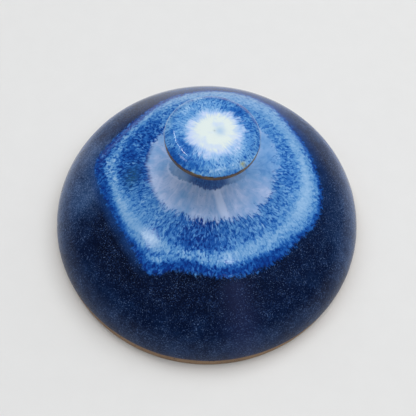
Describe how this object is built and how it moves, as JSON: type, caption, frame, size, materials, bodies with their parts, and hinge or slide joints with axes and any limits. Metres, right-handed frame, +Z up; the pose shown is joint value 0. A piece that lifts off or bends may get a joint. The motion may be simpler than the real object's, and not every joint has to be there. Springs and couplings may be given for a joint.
{
  "type": "domed yarn bowl lid",
  "caption": "Round domed stoneware lid with a mushroom knob, in poured reactive blue glaze over navy, standing on its bare clay rim.",
  "frame": {"origin": "centre of the rim's resting face, at the lid's base", "axes": "+Z up the axis of the thrown dome, through the knob; the pour's widest side is towards +Y"},
  "size_m": [0.1418, 0.1418, 0.0843],
  "materials": {
    "stoneware": "bare fired stoneware, matt, fine grog",
    "stoneware_knob": "bare fired stoneware, matt",
    "stoneware_coil": "bare fired stoneware, matt",
    "navy_glaze": "glossy navy glaze with fine lighter specks",
    "light_blue_glaze": "glossy mottled light blue reactive glaze",
    "knob_blue_glaze": "glossy streaked blue reactive glaze",
    "white_glaze": "glossy opaque white glaze",
    "liner_glaze": "clear glossy liner over brown clay"
  },
  "bodies": {
    "root": {"dome": "stoneware", "knob": "stoneware_knob", "joining_coil": "stoneware_coil", "base_glaze": "navy_glaze", "crown_glaze": "light_blue_glaze", "knob_glaze": "knob_blue_glaze", "knob_white": "white_glaze", "liner_glaze": "liner_glaze"}
  },
  "joints": []
}
